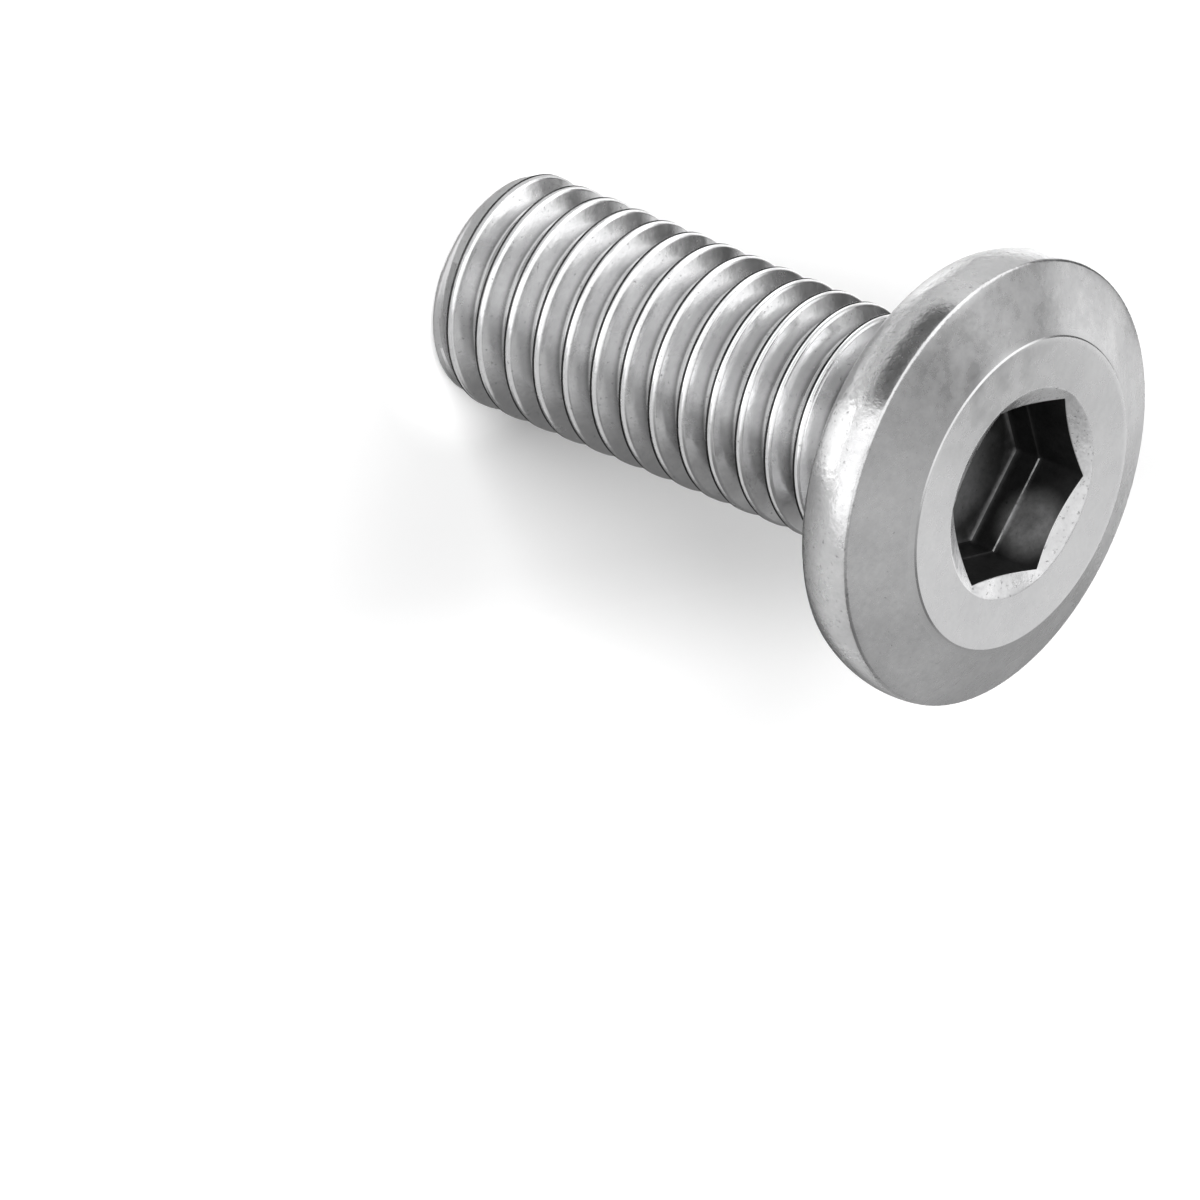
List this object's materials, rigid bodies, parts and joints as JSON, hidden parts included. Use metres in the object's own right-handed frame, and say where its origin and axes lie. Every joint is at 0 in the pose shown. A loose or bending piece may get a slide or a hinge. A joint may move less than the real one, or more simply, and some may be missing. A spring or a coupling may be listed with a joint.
{
  "type": "furniture connector bolt",
  "caption": "Bolt with a wide bevelled flat head, rounded rim and hexagon socket on a fully threaded metric shank, for joining furniture panels and frames.",
  "frame": {"origin": "centre of the flat end face of the shank, on which the bolt stands", "axes": "+Z along the bolt axis towards the head, +X through a corner of the hexagon socket"},
  "size_m": [0.0156, 0.0156, 0.0226],
  "materials": {
    "plated_steel": "bright nickel plating over cold-formed steel"
  },
  "bodies": {
    "root": {"connector_bolt": "plated_steel"}
  },
  "joints": []
}
